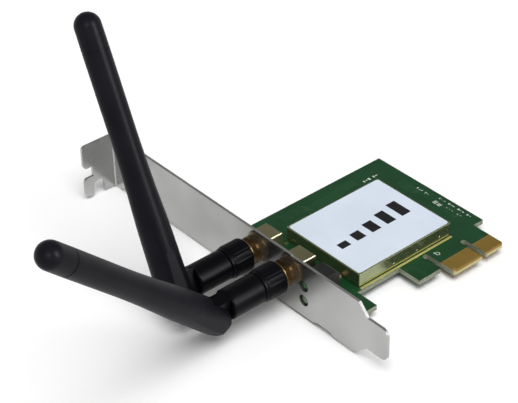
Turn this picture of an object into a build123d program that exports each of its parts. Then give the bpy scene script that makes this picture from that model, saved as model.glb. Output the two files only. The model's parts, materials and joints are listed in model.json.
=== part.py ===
from build123d import *
import os
from math import atan2, cos, degrees, radians, sin

# Wifi card for a one-lane expansion slot, lying component side up, with its
# full height bracket and two hinged rod antennas on screw-on coaxial jacks.
# Frame: +X is the way the card is pushed into its slot, +Y runs from the
# bracket along the card, +Z leaves the component side. The origin is on the
# contact edge, at the middle of the key notch and of the board's thickness.

# Circuit board
board_thickness = 1.6
board_top = board_thickness / 2
board_bottom = -board_thickness / 2
contact_span_long = 12.15
contact_span_short = 8.15
key_notch_width = 1.9
key_notch_depth = 8.2
edge_bevel_depth = 0.5
edge_bevel_height = 0.3
contact_edge_corner = 0.7
tongue_root_x = -12.0
relief_slot_width = 2.0
relief_slot_bottom_x = -11.6
hook_width = 8.4
hook_tip_x = -3.9
leg_tip_x = -4.2
leg_width = 14.5
board_left_x = -56.2
board_far_y = 12.15
board_to_bracket_gap = 0.4

# Edge contacts
contact_pitch = 1.0
contacts_long_side = 11
contacts_short_side = 7
first_contact_offset = 1.5
contact_width = 0.7
contact_length = 5.1
short_contact_length = 4.1
foil_thickness = 0.05

# Bracket, folded from one sheet
sheet = 0.86
bracket_length = 120.02
bracket_width = 18.42
seat_x = -104.2
bracket_face_y = -54.75
bracket_bottom_z = -2.2
tab_depth = 11.43
bend_radius = 0.5
shoulder_drop = 1.0
shoulder_length = 3.0
tongue_length = 7.6
tongue_width = 10.4
tongue_bottom = 4.0
tongue_corner = 2.2
upper_chamfer_length = 3.4
lower_chamfer_length = 4.6
upper_step_u = 82.0
upper_step = 0.35
lower_relief_start = 91.5
lower_relief_end = 99.0
lower_relief = 0.7
slot_height = 3.6
slot_depth = 3.3
slot_centre = 8.5
screw_notch_width = 4.0
screw_notch_height = 4.6
screw_notch_from_edge = 3.1

# Antenna jacks
jack_positions = (65.1, 79.2)
jack_axis_height = 10.7
jack_thread = 6.35
jack_hole_clearance = 0.15
barrel_length = 8.6
jack_block_width = 6.9
jack_block_depth = 7.8
jack_block_rise = 3.5
jack_bore = 4.7
jack_bore_bottom = 4.0
jack_insulator = 4.1
jack_pin = 0.9
jack_pin_reach = 7.2
jack_leg_well = 2.6
jack_leg_setback = 4.4
post_size = 1.2
post_spacing = 5.1
post_length = 2.4
post_clearance = 0.1
washer_thickness = 0.5
washer_diameter = 8.0
hex_thickness = 1.6
hex_across_flats = 7.4

# Antenna, measured outward from the bracket's face
collar_start = 2.4
collar_length = 7.8
collar_diameter = 9.85
coupling_nut_diameter = 8.0
nut_lip = 0.5
thread_clearance = 0.05
ferrule_shaft = 5.0
ferrule_flange = 6.2
ferrule_flange_thickness = 0.6
ferrule_sleeve = 4.55
ferrule_sleeve_bore = 3.2
ferrule_tail = 17.6
plug_socket = 1.5
running_gap = 0.15
swivel_clearance = 0.05
base_diameter = 9.0
base_end = 21.4
hinge_distance = 27.75
tongue_plate = 4.2
tongue_height = 8.2
cheek_gap = 0.15
hinge_pin_diameter = 2.0
hinge_pin_clearance = 0.04
hinge_pin_cover = 0.8
cable_passage = 2.0
whip_root_diameter = 9.7
whip_shaft_diameter = 7.55
whip_tip_diameter = 7.45
whip_length = 80.5
root_flat_width = 9.0
root_flat_end = 12.4
root_overhang = 1.3
root_section_length = 16.0
root_section_taper = 0.25
flare_length = 30.0
flare_steps = ((0.15, 0.14), (0.45, 0.6), (0.72, 0.88), (1.0, 1.0))
whip_bore = 5.8
bore_start = 8.0
cap_length = 10.0
groove_width = 0.35
groove_depth = 0.15
cap_spigot_length = 4.0
cap_spigot_clearance = 0.05
radiator_diameter = 4.6
radiator_bore = 3.4
radiator_length = 26.0
radiator_start = 12.0
# Rest attitude of each antenna: the swing plane's lean from +Z toward -X, then the bend
antenna_attitudes = ((23.7, 90.0), (-12.2, 46.1))

# Shield can, label and the parts below it
shield_left_x = -43.7
shield_width = 30.7
shield_near_y = -37.5
shield_length = 36.8
shield_top = 5.6
shield_sheet = 0.2
shield_corner = 0.5
shield_seat_gap = 0.05
lid_skirt_gap = 0.55
rim_width = 1.2
cross_bar_width = 2.4
label_thickness = 0.08
label_margin = 0.25
strip_width = 0.8

# Status light holder
led_holder_gap = 1.55
led_levels = (5.5, 10.5)
led_diameter = 2.9
led_hole = 3.6
led_holder_width = 6.0
led_holder_depth = 9.4
led_holder_height = 9.4
led_lead_insets = (1.2, 3.74)
led_setback = 0.5
led_reach = 0.75
led_lead = 0.5

# Values that follow
bracket_top_z = bracket_bottom_z + bracket_width
bracket_inner_y = bracket_face_y + sheet
tab_outer_x = seat_x - sheet
tip_x = seat_x + bracket_length
board_near_y = bracket_inner_y + board_to_bracket_gap
axis_z = bracket_bottom_z + jack_axis_height
hook_far_y = -contact_span_long - relief_slot_width
hook_near_y = hook_far_y - hook_width
slot_round_x = relief_slot_bottom_x + relief_slot_width / 2
shield_right_x = shield_left_x + shield_width
shield_far_y = shield_near_y + shield_length
leg_far_y = board_near_y + leg_width
body_right_x = shield_right_x + strip_width + 0.2
groove_at = whip_length - cap_length
led_x = seat_x + jack_positions[-1] + (jack_block_width + led_holder_width) / 2 + led_holder_gap

os.makedirs("parts", exist_ok=True)


def save(piece, name):
    piece.part.label = name
    export_step(piece.part, f"parts/{name}.step")


# Bracket: body and tongue in one outline, then the folded tab
with BuildPart() as bracket:
    with BuildSketch(Plane.XZ.offset(-bracket_face_y)):
        with BuildLine():
            Polyline(
                (seat_x, bracket_bottom_z - shoulder_drop),
                (seat_x + shoulder_length, bracket_bottom_z - shoulder_drop),
                (seat_x + shoulder_length + shoulder_drop, bracket_bottom_z),
                (seat_x + lower_relief_start, bracket_bottom_z),
                (seat_x + lower_relief_start + lower_relief, bracket_bottom_z + lower_relief),
                (seat_x + lower_relief_end - lower_relief, bracket_bottom_z + lower_relief),
                (seat_x + lower_relief_end, bracket_bottom_z),
                (tip_x - tongue_length - lower_chamfer_length, bracket_bottom_z),
                (tip_x - tongue_length, bracket_bottom_z + tongue_bottom),
                (tip_x, bracket_bottom_z + tongue_bottom),
                (tip_x, bracket_bottom_z + tongue_bottom + tongue_width),
                (tip_x - tongue_length, bracket_bottom_z + tongue_bottom + tongue_width),
                (tip_x - tongue_length - upper_chamfer_length, bracket_top_z - upper_step),
                (seat_x + upper_step_u, bracket_top_z - upper_step),
                (seat_x + upper_step_u, bracket_top_z),
                (seat_x, bracket_top_z),
                close=True,
            )
        make_face()
        with Locations(*[(seat_x + u, axis_z) for u in jack_positions]):
            Circle(jack_thread / 2 + jack_hole_clearance, mode=Mode.SUBTRACT)
        with Locations(*[(led_x, bracket_bottom_z + level) for level in led_levels]):
            Circle(led_hole / 2, mode=Mode.SUBTRACT)
    extrude(amount=-sheet)
    tongue_edges = bracket.edges().filter_by(Axis.Y).group_by(Axis.X)[-1]
    fillet(tongue_edges, tongue_corner)
    with BuildSketch(Plane.YZ.offset(tab_outer_x)):
        with Locations((bracket_inner_y, bracket_bottom_z)):
            Rectangle(tab_depth + sheet, bracket_width, align=(Align.MAX, Align.MIN))
        with Locations((bracket_inner_y, bracket_bottom_z)):
            Rectangle(sheet + bend_radius, shoulder_drop, align=(Align.MAX, Align.MAX))
        with Locations((bracket_face_y - tab_depth, bracket_bottom_z + slot_centre)):
            Rectangle(2 * slot_depth, slot_height, mode=Mode.SUBTRACT)
        notch_y = bracket_face_y - tab_depth + screw_notch_from_edge + screw_notch_width / 2
        with Locations((notch_y, bracket_bottom_z)):
            Rectangle(screw_notch_width, 2 * (screw_notch_height - screw_notch_width / 2), mode=Mode.SUBTRACT)
        with Locations((notch_y, bracket_bottom_z + screw_notch_height - screw_notch_width / 2)):
            Circle(screw_notch_width / 2, mode=Mode.SUBTRACT)
    extrude(amount=sheet)
    tab_corners = bracket.edges().filter_by(Axis.X).group_by(Axis.Y)[0]
    fillet(tab_corners, 0.45 * screw_notch_from_edge)
    along_z = bracket.edges().filter_by(Axis.Z)
    outer_bend = along_z.filter_by_position(Axis.X, tab_outer_x - 0.01, tab_outer_x + 0.01)
    fillet(outer_bend.sort_by(Axis.Y)[-1], sheet + bend_radius)
    inner_bend = bracket.edges().filter_by(Axis.Z).filter_by_position(Axis.X, seat_x - 0.01, seat_x + 0.01)
    fillet(inner_bend.sort_by(Axis.Y)[-1], bend_radius)
save(bracket, "bracket")

# Circuit board: body, bracket-side leg, hook and edge connector tongue
with BuildPart() as circuit_board:
    with BuildSketch(Plane.XY.offset(board_bottom)):
        with BuildLine():
            Polyline(
                (board_left_x, board_near_y),
                (leg_tip_x, board_near_y),
                (leg_tip_x, leg_far_y),
                (body_right_x, leg_far_y),
                (body_right_x, hook_near_y),
                (hook_tip_x, hook_near_y),
                (hook_tip_x, hook_far_y),
                (slot_round_x, hook_far_y),
                (slot_round_x, -contact_span_long),
                (-contact_edge_corner, -contact_span_long),
                (0, contact_edge_corner - contact_span_long),
                (0, contact_span_short - contact_edge_corner),
                (-contact_edge_corner, contact_span_short),
                (tongue_root_x, contact_span_short),
                (body_right_x, board_far_y),
                (board_left_x, board_far_y),
                close=True,
            )
        make_face()
        with Locations((-key_notch_depth / 2, 0)):
            SlotOverall(key_notch_depth + key_notch_width, key_notch_width, mode=Mode.SUBTRACT)
        with Locations((slot_round_x, -contact_span_long - relief_slot_width / 2)):
            Circle(relief_slot_width / 2, mode=Mode.SUBTRACT)
        post_spots = [
            (seat_x + u + dx, bracket_inner_y + jack_block_depth / 2 + dy)
            for u in jack_positions
            for dx in (-post_spacing / 2, post_spacing / 2)
            for dy in (-post_spacing / 2, post_spacing / 2)
        ]
        with Locations(*post_spots):
            Circle(post_size * 0.5 ** 0.5 + post_clearance, mode=Mode.SUBTRACT)
        signal_spots = [(seat_x + u, bracket_inner_y + jack_leg_setback) for u in jack_positions]
        with Locations(*signal_spots):
            Circle(jack_pin / 2 + post_clearance, mode=Mode.SUBTRACT)
        lead_spots = [
            (led_x + dx, bracket_inner_y + led_setback + led_holder_depth - inset)
            for dx in (-1.27, 1.27)
            for inset in led_lead_insets
        ]
        with Locations(*lead_spots):
            Circle(led_lead * 0.5 ** 0.5 + post_clearance, mode=Mode.SUBTRACT)
    extrude(amount=board_thickness)
    contact_edges = circuit_board.edges().filter_by(Axis.Y).filter_by_position(Axis.X, -0.01, 0.01)
    chamfer(contact_edges, edge_bevel_height, edge_bevel_depth)
save(circuit_board, "circuit_board")


# Gold contacts: one row each side of the board, with a shorter first one
def contact_row(top_side, short_index):
    level = board_top if top_side else board_bottom - foil_thickness
    long_rows = [-(first_contact_offset + contact_pitch * i) for i in range(contacts_long_side)]
    short_rows = [first_contact_offset + contact_pitch * i for i in range(contacts_short_side)]
    with BuildPart() as row:
        with BuildSketch(Plane.XY.offset(level)):
            for index, y in enumerate(long_rows + short_rows):
                length = short_contact_length if index == short_index else contact_length
                with Locations((-edge_bevel_depth - contact_length, y)):
                    Rectangle(length, contact_width, align=(Align.MIN, Align.CENTER))
        extrude(amount=foil_thickness)
    return row


save(contact_row(True, contacts_long_side - 1), "contacts_component_side")
save(contact_row(False, contacts_long_side + contacts_short_side - 1), "contacts_solder_side")

# Bare gold strip along the shield's foot
with BuildPart() as ground_strip:
    with BuildSketch(Plane.XY.offset(board_top)):
        with Locations((shield_right_x + strip_width / 2 + 0.1, shield_near_y + 0.2)):
            Rectangle(strip_width, shield_length - 0.2, align=(Align.CENTER, Align.MIN))
    extrude(amount=foil_thickness)
save(ground_strip, "ground_strip")

# Shield frame: a folded fence with an inward rim, open in the middle
frame_inset = shield_sheet + shield_seat_gap
frame_top = shield_top - label_thickness - shield_sheet
with BuildPart() as shield_frame:
    shield_centre = ((shield_left_x + shield_right_x) / 2, (shield_near_y + shield_far_y) / 2)
    with BuildSketch(Plane.XY.offset(board_top)):
        with Locations(shield_centre):
            Rectangle(shield_width - 2 * frame_inset, shield_length - 2 * frame_inset)
            wall_step = 2 * (frame_inset + shield_sheet)
            Rectangle(shield_width - wall_step, shield_length - wall_step, mode=Mode.SUBTRACT)
    extrude(amount=frame_top - board_top)
    with BuildSketch(Plane.XY.offset(frame_top - shield_sheet)):
        with Locations(shield_centre):
            Rectangle(shield_width - 2 * frame_inset, shield_length - 2 * frame_inset)
            rim_step = 2 * (frame_inset + rim_width)
            Rectangle(shield_width - rim_step, shield_length - rim_step, mode=Mode.SUBTRACT)
            Rectangle(shield_width - rim_step, cross_bar_width, mode=Mode.ADD)
    extrude(amount=shield_sheet)
save(shield_frame, "shield_frame")

# Shield lid: a shallow pan with snap dimples and a few vent holes in its skirt
with BuildPart() as shield_lid:
    lid_top = shield_top - label_thickness
    with BuildSketch(Plane.XY.offset(board_top + lid_skirt_gap)):
        with Locations(shield_centre):
            RectangleRounded(shield_width, shield_length, shield_corner)
    extrude(amount=lid_top - board_top - lid_skirt_gap)
    fillet(shield_lid.faces().sort_by(Axis.Z)[-1].edges(), shield_sheet * 0.75)
    with BuildSketch(Plane.XY.offset(board_top + lid_skirt_gap)):
        with Locations(shield_centre):
            Rectangle(shield_width - 2 * shield_sheet, shield_length - 2 * shield_sheet)
    extrude(amount=lid_top - shield_sheet - board_top - lid_skirt_gap, mode=Mode.SUBTRACT)
save(shield_lid, "shield_lid")

with BuildPart() as label:
    with BuildSketch(Plane.XY.offset(shield_top - label_thickness)):
        with Locations(shield_centre):
            margin = 2 * (label_margin + shield_sheet)
            RectangleRounded(shield_width - margin, shield_length - margin, 0.8)
    extrude(amount=label_thickness)
save(label, "label")


# Flat electronic parts on the board: name, centre, size, height
def chip(name, x, y, width, length, height, corner=0.0):
    with BuildPart() as piece:
        with BuildSketch(Plane.XY.offset(board_top)):
            with Locations((x, y)):
                Rectangle(width, length)
        extrude(amount=height)
        if corner:
            chamfer(piece.edges().group_by(Axis.Z)[-1], corner)
    save(piece, name)


# A place under the shield, as shares of its width and length
def under_shield(across, along):
    return (shield_left_x + across * shield_width, shield_near_y + along * shield_length)


chip("radio_chip", *under_shield(0.4, 0.6), 10.0, 10.0, 0.9, 0.1)
chip("front_end_chip", *under_shield(0.53, 0.21), 4.0, 4.0, 0.8, 0.08)
chip("crystal", *under_shield(0.78, 0.66), 3.2, 2.5, 0.7, 0.08)
chip("flash_chip", *under_shield(0.74, 0.84), 3.9, 4.9, 1.5, 0.15)
chip("power_inductor", *under_shield(0.2, 0.84), 4.0, 4.0, 2.0, 0.25)


def small_parts(name, spots, width, length, height):
    with BuildPart() as group:
        with BuildSketch(Plane.XY.offset(board_top)):
            with Locations(*spots):
                Rectangle(width, length)
        extrude(amount=height)
    save(group, name)


small_parts(
    "ceramic_capacitors",
    [under_shield(0.16 + 0.078 * i, 0.34) for i in range(8)]
    + [(led_x - led_holder_width / 2 - 0.2, shield_near_y - 1.3)]
    + [(led_x + led_holder_width / 2 + 6.8, bracket_inner_y + 6.0)],
    1.0, 1.8, 0.8,
)
small_parts(
    "chip_resistors",
    [under_shield(0.16 + 0.058 * i, 0.41) for i in range(9)],
    0.8, 1.6, 0.45,
)


# Jack: square block on four posts, with a threaded barrel through the bracket
def jack_pieces(number, u):
    x = seat_x + u
    face = Plane((x, bracket_face_y, axis_z), x_dir=(1, 0, 0), z_dir=(0, -1, 0))
    block_top = axis_z + jack_block_rise
    block_height = block_top - board_top
    with BuildPart() as body:
        with BuildSketch(Plane.XY.offset(board_top)):
            with Locations((x, bracket_inner_y)):
                Rectangle(jack_block_width, jack_block_depth, align=(Align.CENTER, Align.MIN))
        extrude(amount=block_height)
        chamfer(body.faces().sort_by(Axis.Z)[-1].edges(), 0.2)
        with BuildSketch(Plane.XZ.offset(-bracket_inner_y - jack_block_depth)):
            with Locations((x, board_top)):
                Rectangle(post_spacing - post_size, block_height * 0.42, align=(Align.CENTER, Align.MIN))
        extrude(amount=jack_block_depth, mode=Mode.SUBTRACT)
        with BuildSketch(face.offset(-sheet)):
            Circle(jack_thread / 2)
        extrude(amount=barrel_length + sheet)
        chamfer(body.faces().sort_by(Axis.Y)[0].edges().sort_by(SortBy.LENGTH)[-1], 0.3)
        with BuildSketch(face.offset(barrel_length)):
            Circle(jack_bore / 2)
        extrude(amount=jack_bore_bottom - barrel_length, mode=Mode.SUBTRACT)
        with BuildSketch(face.offset(jack_bore_bottom)):
            Circle(jack_insulator / 2)
        extrude(amount=-jack_bore_bottom - sheet - jack_leg_setback - jack_leg_well / 2, mode=Mode.SUBTRACT)
        with BuildSketch(Plane.XY.offset(board_top)):
            with Locations((x, bracket_inner_y + jack_leg_setback)):
                Circle(jack_leg_well / 2)
        extrude(amount=axis_z - board_top, mode=Mode.SUBTRACT)
        with BuildSketch(Plane.XY.offset(board_top)):
            with Locations((x, bracket_inner_y + jack_block_depth / 2)):
                with GridLocations(post_spacing, post_spacing, 2, 2):
                    Rectangle(post_size, post_size)
        extrude(amount=-post_length)
    save(body, f"jack_{number}_body")

    insulator_back = sheet + jack_leg_setback - jack_leg_well / 2
    with BuildPart() as insulator:
        with BuildSketch(face.offset(jack_bore_bottom)):
            Circle(jack_insulator / 2)
            Circle(jack_pin / 2, mode=Mode.SUBTRACT)
        extrude(amount=-jack_bore_bottom - insulator_back)
    save(insulator, f"jack_{number}_insulator")

    with BuildPart() as contact:
        with BuildSketch(face.offset(jack_pin_reach)):
            Circle(jack_pin / 2)
        extrude(amount=-jack_pin_reach - sheet - jack_leg_setback)
        with BuildSketch(Plane.XY.offset(board_top - post_length)):
            with Locations((x, bracket_inner_y + jack_leg_setback)):
                Circle(jack_pin / 2)
        extrude(amount=axis_z - board_top + post_length)
        chamfer(contact.faces().sort_by(Axis.Y)[0].edges(), 0.2)
    save(contact, f"jack_{number}_contact")

    with BuildPart() as washer:
        with BuildSketch(face):
            Circle(washer_diameter / 2)
            Circle(jack_thread / 2 + jack_hole_clearance, mode=Mode.SUBTRACT)
        extrude(amount=washer_thickness)
        chamfer(washer.faces().sort_by(Axis.Y)[0].outer_wire().edges(), 0.15)
    save(washer, f"jack_{number}_washer")

    with BuildPart() as hex_nut:
        with BuildSketch(face.offset(washer_thickness)):
            RegularPolygon(hex_across_flats / 2, 6, major_radius=False)
        extrude(amount=hex_thickness)
        with BuildSketch(face.offset(washer_thickness)):
            Circle(hex_across_flats * 0.56)
        extrude(amount=hex_thickness, taper=9, mode=Mode.INTERSECT)
        with BuildSketch(face.offset(washer_thickness)):
            Circle(jack_thread / 2 + thread_clearance)
        extrude(amount=hex_thickness, mode=Mode.SUBTRACT)
    save(hex_nut, f"jack_{number}_nut")


# Antenna: coupling nut and collar, plug, swivel base, hinge pin, rod, cap, radiator
def antenna_pieces(number, u, lean, bend):
    x = seat_x + u
    swing = (-sin(radians(lean)), 0, cos(radians(lean)))
    outward = Plane((x, bracket_face_y, axis_z), x_dir=swing, z_dir=(0, -1, 0))
    flange_at = barrel_length + swivel_clearance
    lip_at = flange_at + ferrule_flange_thickness + swivel_clearance
    nut_start = collar_start + 0.3

    with BuildPart(outward) as coupling_nut:
        with BuildSketch(outward.offset(nut_start)):
            RegularPolygon(coupling_nut_diameter / 2, 12)
        extrude(amount=lip_at + nut_lip - nut_start)
        with BuildSketch(outward.offset(nut_start)):
            Circle(jack_thread / 2 + thread_clearance)
        extrude(amount=lip_at - nut_start, mode=Mode.SUBTRACT)
        with BuildSketch(outward.offset(lip_at)):
            Circle(ferrule_shaft / 2 + swivel_clearance)
        extrude(amount=nut_lip, mode=Mode.SUBTRACT)
    save(coupling_nut, f"antenna_{number}_coupling_nut")

    with BuildPart(outward) as collar:
        with BuildSketch(outward.offset(collar_start)):
            Circle(collar_diameter / 2)
        extrude(amount=collar_length)
        fillet(collar.edges().filter_by(GeomType.CIRCLE), 0.35)
        with BuildSketch(outward.offset(collar_start)):
            RegularPolygon(coupling_nut_diameter / 2, 12)
        extrude(amount=lip_at + nut_lip - collar_start, mode=Mode.SUBTRACT)
        with BuildSketch(outward.offset(lip_at)):
            Circle(ferrule_shaft / 2 + 2 * swivel_clearance)
        extrude(amount=collar_length, mode=Mode.SUBTRACT)
    save(collar, f"antenna_{number}_collar")

    with BuildPart(outward) as ferrule:
        with BuildSketch(outward.offset(flange_at)):
            Circle(ferrule_flange / 2)
        extrude(amount=ferrule_flange_thickness)
        with BuildSketch(outward.offset(jack_bore_bottom + swivel_clearance)):
            Circle(ferrule_sleeve / 2)
        extrude(amount=flange_at - jack_bore_bottom - swivel_clearance)
        with BuildSketch(outward.offset(flange_at)):
            Circle(ferrule_shaft / 2)
        extrude(amount=ferrule_tail - flange_at)
        with BuildSketch(outward.offset(jack_bore_bottom + swivel_clearance)):
            Circle(ferrule_sleeve_bore / 2)
        extrude(amount=ferrule_tail, mode=Mode.SUBTRACT)
    save(ferrule, f"antenna_{number}_plug_ferrule")

    with BuildPart(outward) as plug_insulator:
        with BuildSketch(outward.offset(jack_bore_bottom + 0.6)):
            Circle(ferrule_sleeve_bore / 2)
            Circle(plug_socket / 2, mode=Mode.SUBTRACT)
        extrude(amount=ferrule_tail - jack_bore_bottom - 0.6)
    save(plug_insulator, f"antenna_{number}_plug_insulator")

    with BuildPart(outward) as socket:
        with BuildSketch(outward.offset(jack_bore_bottom + 0.8)):
            Circle(plug_socket / 2)
        extrude(amount=ferrule_tail - jack_bore_bottom - 0.8)
        with BuildSketch(outward.offset(jack_bore_bottom + 0.8)):
            Circle(jack_pin / 2 + thread_clearance)
        extrude(amount=jack_pin_reach - jack_bore_bottom, mode=Mode.SUBTRACT)
    save(socket, f"antenna_{number}_plug_contact")

    base_start = collar_start + collar_length + running_gap
    with BuildPart(outward) as base:
        with BuildSketch(outward.offset(base_start)):
            Circle(base_diameter / 2)
        extrude(amount=base_end - base_start)
        fillet(base.edges().filter_by(GeomType.CIRCLE).sort_by(Axis.Y)[-1], 0.3)
        fillet(base.edges().filter_by(GeomType.CIRCLE).sort_by(Axis.Y)[0], 0.6)
        swing_plane = Plane(outward.origin, x_dir=outward.x_dir, z_dir=outward.y_dir)
        with BuildSketch(swing_plane.offset(-tongue_plate / 2)):
            with Locations((0, -(base_end - 1.0))):
                Rectangle(tongue_height, hinge_distance - base_end + 1.0, align=(Align.CENTER, Align.MAX))
            with Locations((0, -hinge_distance)):
                Circle(tongue_height / 2)
        extrude(amount=tongue_plate)
        with BuildSketch(swing_plane.offset(-tongue_plate / 2)):
            with Locations((0, -hinge_distance)):
                Circle(hinge_pin_diameter / 2 + hinge_pin_clearance)
        extrude(amount=tongue_plate, mode=Mode.SUBTRACT)
        with BuildSketch(outward.offset(base_start)):
            Circle(ferrule_shaft / 2 + swivel_clearance)
        extrude(amount=ferrule_tail + swivel_clearance - base_start, mode=Mode.SUBTRACT)
        with BuildSketch(outward.offset(ferrule_tail)):
            Circle(cable_passage / 2)
        extrude(amount=hinge_distance - ferrule_tail - hinge_pin_diameter, mode=Mode.SUBTRACT)
    save(base, f"antenna_{number}_base")

    pivot = outward.offset(hinge_distance).origin
    turn = radians(bend)
    rod_dir = outward.z_dir * cos(turn) + outward.x_dir * sin(turn)
    pin_dir = outward.y_dir
    rod = Plane(pivot, x_dir=pin_dir, z_dir=rod_dir)
    across = Plane(pivot, x_dir=rod_dir, z_dir=pin_dir)
    pin_length = root_flat_width - 2 * hinge_pin_cover

    with BuildPart(rod) as hinge_pin:
        with BuildSketch(across.offset(-pin_length / 2)):
            Circle(hinge_pin_diameter / 2)
        extrude(amount=pin_length)
    save(hinge_pin, f"antenna_{number}_hinge_pin")

    slot_width = tongue_plate + 2 * cheek_gap
    slot_bottom = tongue_height / 2 + 2 * cheek_gap
    straight = groove_at
    root_radius = whip_root_diameter / 2
    section_radius = root_radius - root_section_taper
    shaft_radius = whip_shaft_diameter / 2
    root_back = root_radius + root_overhang
    flare = [
        (section_radius - (section_radius - shaft_radius) * drop, -(root_section_length + flare_length * part))
        for part, drop in flare_steps
    ]
    with BuildPart(rod) as rod_sleeve:
        with BuildSketch(Plane(pivot, x_dir=pin_dir, z_dir=rod.y_dir)):
            with BuildLine():
                Polyline(
                    (0, root_back),
                    (root_radius, root_back),
                    (root_radius, 0),
                    (section_radius, -root_section_length),
                    *flare,
                    (shaft_radius, -(straight - groove_width)),
                    (shaft_radius - groove_depth, -(straight - groove_width)),
                    (shaft_radius - groove_depth, -straight),
                    (0, -straight),
                    close=True,
                )
            make_face()
        revolve(axis=Axis(pivot, rod_dir))
        with BuildSketch(across.offset(-root_radius)):
            with Locations((-root_overhang, 0)):
                Circle(root_radius)
                Rectangle(straight + root_overhang, 2 * root_radius, align=(Align.MIN, Align.CENTER))
        extrude(amount=2 * root_radius, mode=Mode.INTERSECT)
        for side in (-root_radius, root_flat_width / 2):
            with BuildSketch(across.offset(side)):
                with Locations((root_flat_end - root_radius, 0)):
                    Circle(root_radius)
                    Rectangle(3 * root_radius, 2 * root_radius, align=(Align.MAX, Align.CENTER))
            extrude(amount=root_radius - root_flat_width / 2, mode=Mode.SUBTRACT)
        with BuildSketch(across.offset(-slot_width / 2)):
            with Locations((slot_bottom, 0)):
                Rectangle(2 * whip_root_diameter, 2 * whip_root_diameter, align=(Align.MAX, Align.CENTER))
        extrude(amount=slot_width, mode=Mode.SUBTRACT)
        with BuildSketch(across.offset(-pin_length / 2)):
            Circle(hinge_pin_diameter / 2)
        extrude(amount=pin_length, mode=Mode.SUBTRACT)
        with BuildSketch(rod.offset(bore_start)):
            Circle(whip_bore / 2)
        extrude(amount=straight - bore_start, mode=Mode.SUBTRACT)
        with BuildSketch(rod.offset(slot_bottom)):
            Circle(cable_passage / 2)
        extrude(amount=bore_start - slot_bottom, mode=Mode.SUBTRACT)
    save(rod_sleeve, f"antenna_{number}_rod")

    tip_radius = whip_tip_diameter / 2
    with BuildPart(rod) as tip_cap:
        with BuildSketch(Plane(pivot, x_dir=pin_dir, z_dir=rod.y_dir)):
            with BuildLine():
                Line((0, -straight), (shaft_radius, -straight))
                Line((shaft_radius, -straight), (tip_radius, -(whip_length - tip_radius)))
                RadiusArc((tip_radius, -(whip_length - tip_radius)), (0, -whip_length), tip_radius)
                Line((0, -whip_length), (0, -straight))
            make_face()
        revolve(axis=Axis(pivot, rod_dir))
        with BuildSketch(rod.offset(straight)):
            Circle(whip_bore / 2 - cap_spigot_clearance)
        extrude(amount=-cap_spigot_length)
    save(tip_cap, f"antenna_{number}_tip_cap")

    with BuildPart(rod) as radiator:
        with BuildSketch(rod.offset(radiator_start)):
            Circle(radiator_diameter / 2)
            Circle(radiator_bore / 2, mode=Mode.SUBTRACT)
        extrude(amount=radiator_length)
        with BuildSketch(rod.offset(bore_start)):
            Circle(radiator_bore / 2)
        extrude(amount=radiator_start + 3.0 - bore_start)
    save(radiator, f"antenna_{number}_radiator")


for number, u in enumerate(jack_positions, start=1):
    jack_pieces(number, u)
    lean, bend = antenna_attitudes[number - 1]
    antenna_pieces(number, u, lean, bend)

# Status lights: a black two-level holder and two lenses that reach into the bracket
holder_front = bracket_inner_y + led_setback
with BuildPart() as led_holder:
    with BuildSketch(Plane.XY.offset(board_top)):
        with Locations((led_x, holder_front)):
            Rectangle(led_holder_width, led_holder_depth, align=(Align.CENTER, Align.MIN))
    extrude(amount=led_holder_height)
    top_back = led_holder.edges().filter_by(Axis.X).group_by(Axis.Z)[-1].sort_by(Axis.Y)[-1]
    chamfer(top_back, 1.2)
    for level in led_levels:
        with BuildSketch(Plane.XZ.offset(-holder_front)):
            with Locations((led_x, bracket_bottom_z + level)):
                Circle(led_diameter / 2)
        extrude(amount=-3.0, mode=Mode.SUBTRACT)
    with BuildSketch(Plane.XY.offset(board_top)):
        with Locations(*lead_spots):
            Rectangle(led_lead, led_lead)
    extrude(amount=-post_length)
save(led_holder, "led_holder")

for name, level in zip(("activity_light", "link_light"), reversed(led_levels)):
    with BuildPart() as lens:
        with BuildSketch(Plane.XZ.offset(-holder_front - 3.0)):
            with Locations((led_x, bracket_bottom_z + level)):
                Circle(led_diameter / 2)
        extrude(amount=3.0 + led_reach)
        fillet(lens.edges().filter_by(GeomType.CIRCLE).sort_by(Axis.Y)[0], 0.5)
    save(lens, name)
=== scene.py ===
# Wifi card on a white table: finishes, fine detail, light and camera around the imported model.
# The frame is in metres: +X into the slot, +Y along the card, +Z up. Sizes written here are in mm.
import json
import math
import random

import bmesh
import bpy
from mathutils import Matrix, Vector


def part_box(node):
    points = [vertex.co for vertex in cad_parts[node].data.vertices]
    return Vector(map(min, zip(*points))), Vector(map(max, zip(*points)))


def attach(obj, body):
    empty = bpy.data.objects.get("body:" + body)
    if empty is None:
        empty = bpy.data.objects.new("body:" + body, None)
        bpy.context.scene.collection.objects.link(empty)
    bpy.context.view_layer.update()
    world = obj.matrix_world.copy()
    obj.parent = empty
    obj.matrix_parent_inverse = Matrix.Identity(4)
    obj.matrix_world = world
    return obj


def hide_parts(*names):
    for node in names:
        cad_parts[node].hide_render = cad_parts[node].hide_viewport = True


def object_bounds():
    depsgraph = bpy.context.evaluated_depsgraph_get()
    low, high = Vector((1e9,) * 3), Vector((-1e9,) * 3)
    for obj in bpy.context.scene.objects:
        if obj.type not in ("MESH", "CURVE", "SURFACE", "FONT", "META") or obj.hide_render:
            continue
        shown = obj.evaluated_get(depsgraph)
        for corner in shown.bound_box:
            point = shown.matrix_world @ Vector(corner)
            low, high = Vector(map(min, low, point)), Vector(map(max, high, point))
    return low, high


mm = 0.001
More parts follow.
